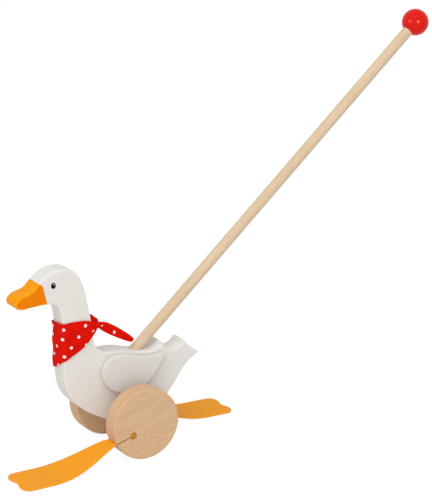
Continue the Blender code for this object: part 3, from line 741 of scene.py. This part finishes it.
def knot_mesh(name, centre, radii):
    """A rounded lump with creases that wind from one pole to the other, and no spot on it."""
    grid, uvs = [], []
    between_spots = SPOT_PHASE[0] + SPOT_PITCH[0] / 2
    for row in range(KNOT_ROWS + 1):
        tilt = math.pi * (row / KNOT_ROWS - 0.5)
        line = []
        for column in range(KNOT_COLUMNS + 1):
            turn = 2 * math.pi * column / KNOT_COLUMNS
            crease = 1 - math.sqrt(abs(math.sin(KNOT_WRAPS / 2 * turn + KNOT_TWIST * math.sin(tilt))))
            size = 1 - KNOT_CREASE * crease * math.cos(tilt)
            way = Vector((math.cos(tilt) * math.cos(turn), math.cos(tilt) * math.sin(turn), math.sin(tilt)))
            line.append(centre + way * radii * size)
        grid.append(line)
        uvs.append([(between_spots, SPOT_PHASE[1] + tilt * MM) for _ in line])
    return grid_mesh(name, uvs, grid)


def tail_half_thickness(turn):
    """How far a loose end's face stands out at a turn round it: a flattened tube with a crease."""
    side, out = math.cos(turn), math.sin(turn)
    crease = TAIL_CREASE * math.exp(-((side - TAIL_CREASE_PLACE) / TAIL_CREASE_WIDTH) ** 2)
    return math.copysign(abs(out) ** TAIL_SQUARENESS, out) * TAIL_HALF_THICKNESS * (1 - crease)


def tail_flat(run, side, share, spot):
    """Place on the flat cloth of a point that far along a loose end and to the side of its middle."""
    drift = TAIL_DRIFT * min(share / TAIL_DRIFT_SHARE, 1) ** TAIL_DRIFT_POWER
    gather = 1 + TAIL_GATHER * max(1 - abs(run - spot) / TAIL_GATHER_RUN, 0)
    return SPOT_PHASE[0] + (run - spot) * gather, SPOT_PHASE[1] + side * gather - drift


def tail_mesh(name, centre, rows, spot):
    """A folded strip of cloth through the rows, its first spot that far from the knot's middle."""
    table = [(index, *row) for index, row in enumerate(rows)]
    places = [through(table, (len(rows) - 1) * step / TAIL_STEPS) for step in range(TAIL_STEPS + 1)]
    grid, uvs = [], []
    run = 0
    for step, (*middle, half) in enumerate(places):
        before, after = places[max(step - 1, 0)], places[min(step + 1, TAIL_STEPS)]
        along = Vector((after[0] - before[0], 0, after[2] - before[2])).normalized()
        across = Vector((-along.z, 0, along.x))
        run += (Vector(middle) - Vector(before[:3])).length * MM
        share = step / TAIL_STEPS
        tip = math.sqrt(1 - max(1 - (1 - share) / TAIL_TIP_SHARE, 0) ** 2)
        start = min(step / TAIL_START_STEPS, 1)
        width = (TAIL_TIP_WIDTH + (1 - TAIL_TIP_WIDTH) * tip) * start
        line, flat = [], []
        for index in range(TAIL_RING + 1):
            turn = 2 * math.pi * index / TAIL_RING
            side = math.cos(turn) * half * MM
            place = centre + Vector(middle) * MM + across * side * width
            line.append(place + Vector((0, tail_half_thickness(turn) * tip * start, 0)))
            flat.append(tail_flat(run, side, share, spot))
        grid.append(line)
        uvs.append(flat)
    return grid_mesh(name, uvs, grid)


def make_neckerchief(material):
    """The kerchief round the neck, with its knot and loose ends."""
    knot_low, knot_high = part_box("neckerchief_knot")
    centre, radii = (knot_low + knot_high) / 2, (knot_high - knot_low) / 2
    meshes = {
        "neckerchief": neckerchief_mesh("spotted_neckerchief", centre),
        "neckerchief_knot": knot_mesh("spotted_knot", centre, radii),
        "neckerchief_tail_long": tail_mesh("spotted_tail_long", centre, LONG_TAIL, LONG_TAIL_SPOT),
        "neckerchief_tail_short": tail_mesh("spotted_tail_short", centre, SHORT_TAIL, SHORT_TAIL_SPOT),
    }
    made = []
    for node, mesh in meshes.items():
        piece = add_piece(mesh.name, mesh, material)
        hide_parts(node)
        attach(piece, "goose")
        made.append(piece)
    thickness = made[0].modifiers.new("thickness", "SOLIDIFY")
    thickness.thickness = CLOTH_THICKNESS
    thickness.offset = 1


def dress_nodes():
    """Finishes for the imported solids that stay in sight."""
    wheel_wood = wood("wheel_beech", BEECH, BEECH_DEEP, WHEEL_GRAIN, flecks=0.5, depth=0.05 * MM)
    wing_paint = goose_paint("wing_paint", WING_WHITE, WING_WARM, has_face=False)
    finishes = {
        "goose_body": goose_paint("goose_paint", WHITE, WHITE_WARM, has_face=True),
        "wing_left": wing_paint,
        "wing_right": wing_paint,
        "push_stick": wood("stick_beech", DOWEL, DOWEL_DEEP, STICK_GRAIN, flecks=0.06, depth=0.015 * MM),
        "stick_knob": lacquer(),
        "axle": wood("axle_beech", DOWEL, DOWEL_DEEP, AXLE_GRAIN, flecks=0.06, depth=0.015 * MM),
        "sleeve_left": wheel_wood,
        "sleeve_right": wheel_wood,
        "wheel_left": wheel_wood,
        "wheel_right": wheel_wood,
    }
    for name, material in finishes.items():
        smooth_node(frame["nodes"][name], material)


def direction(azimuth, elevation):
    """Unit vector out from the object: azimuth from its left side towards its front, then up."""
    flat = math.cos(elevation)
    return Vector((math.sin(azimuth) * flat, math.cos(azimuth) * flat, math.sin(elevation)))


def aim(name, data, target, way, distance):
    """An object of that data, out from the target along a way and looking back at it."""
    made = bpy.data.objects.new(name, data)
    made.location = target + way * distance
    made.rotation_euler = (-way).to_track_quat("-Z", "Y").to_euler()
    bpy.context.scene.collection.objects.link(made)
    return made


def set_camera():
    data = bpy.data.cameras.new("camera")
    data.sensor_width = SENSOR
    data.lens = FOCAL_LENGTH_PX * SENSOR / IMAGE_HEIGHT_PX
    way = direction(CAMERA_AZIMUTH, CAMERA_ELEVATION)
    bpy.context.scene.camera = aim("camera", data, AXLE + CAMERA_TARGET, way, CAMERA_DISTANCE)


def set_lamps():
    """Lamps round the object; those for the glints act only on the gloss of the lacquered knob."""
    lacquered = bpy.data.collections.new("lacquered")
    lacquered.objects.link(frame["nodes"]["stick_knob"])
    for name, azimuth, elevation, power, size, kind in LAMPS:
        data = bpy.data.lights.new(name, "AREA")
        data.energy = power
        data.size = size
        way = direction(math.radians(azimuth), math.radians(elevation))
        lamp = aim(name, data, AXLE, way, LAMP_DISTANCE)
        lamp.visible_glossy = kind == "gloss"
        lamp.visible_diffuse = kind == "diffuse"
        if kind == "gloss":
            lamp.light_linking.receiver_collection = lacquered


def sees_white(tree):
    """1 for the rays that see the white surroundings: from the camera, reflected or let through."""
    rays = tree.nodes.new("ShaderNodeLightPath").outputs
    seen = rays["Is Camera Ray"]
    for kind in ("Is Glossy Ray", "Is Transmission Ray"):
        either = tree.nodes.new("ShaderNodeMath")
        either.operation = "MAXIMUM"
        tree.links.new(seen, either.inputs[0])
        tree.links.new(rays[kind], either.inputs[1])
        seen = either.outputs[0]
    return seen


def set_world():
    """Even light from all round, seen and reflected as plain white."""
    world = bpy.data.worlds.new("studio")
    world.use_nodes = True
    nodes, links = world.node_tree.nodes, world.node_tree.links
    ambient, white = nodes["Background"], nodes.new("ShaderNodeBackground")
    for background, strength in ((ambient, AMBIENT), (white, 1)):
        background.inputs["Color"].default_value = (1, 1, 1, 1)
        background.inputs["Strength"].default_value = strength
    mix = nodes.new("ShaderNodeMixShader")
    links.new(sees_white(world.node_tree), mix.inputs[0])
    links.new(ambient.outputs[0], mix.inputs[1])
    links.new(white.outputs[0], mix.inputs[2])
    links.new(mix.outputs[0], nodes["World Output"].inputs["Surface"])
    bpy.context.scene.world = world


def make_floor():
    """A white floor that glows where it is seen, so that only the object's shadow shows on it."""
    bpy.ops.mesh.primitive_plane_add(size=FLOOR_SIZE)
    floor = bpy.context.object
    floor.name = "floor"
    finish = Finish("floor", specular=0, roughness=1)
    finish.shader.inputs["Base Color"].default_value = FLOOR
    glow = finish.node("Emission", {"Strength": FLOOR_GLOW})
    share = finish.calc("MULTIPLY", sees_white(finish.tree), FLOOR_GLOW_SHARE)
    mixed = finish.node("MixShader", {0: share, 1: finish.shader.outputs[0], 2: glow.outputs[0]})
    finish.tree.links.new(mixed.outputs[0], finish.tree.nodes["Material Output"].inputs["Surface"])
    floor.data.materials.append(finish.material)


dress_nodes()
make_feet(rubber())
make_neckerchief(spotted_cloth())
set_camera()
set_lamps()
set_world()
make_floor()
bpy.context.scene.view_settings.view_transform = "Standard"
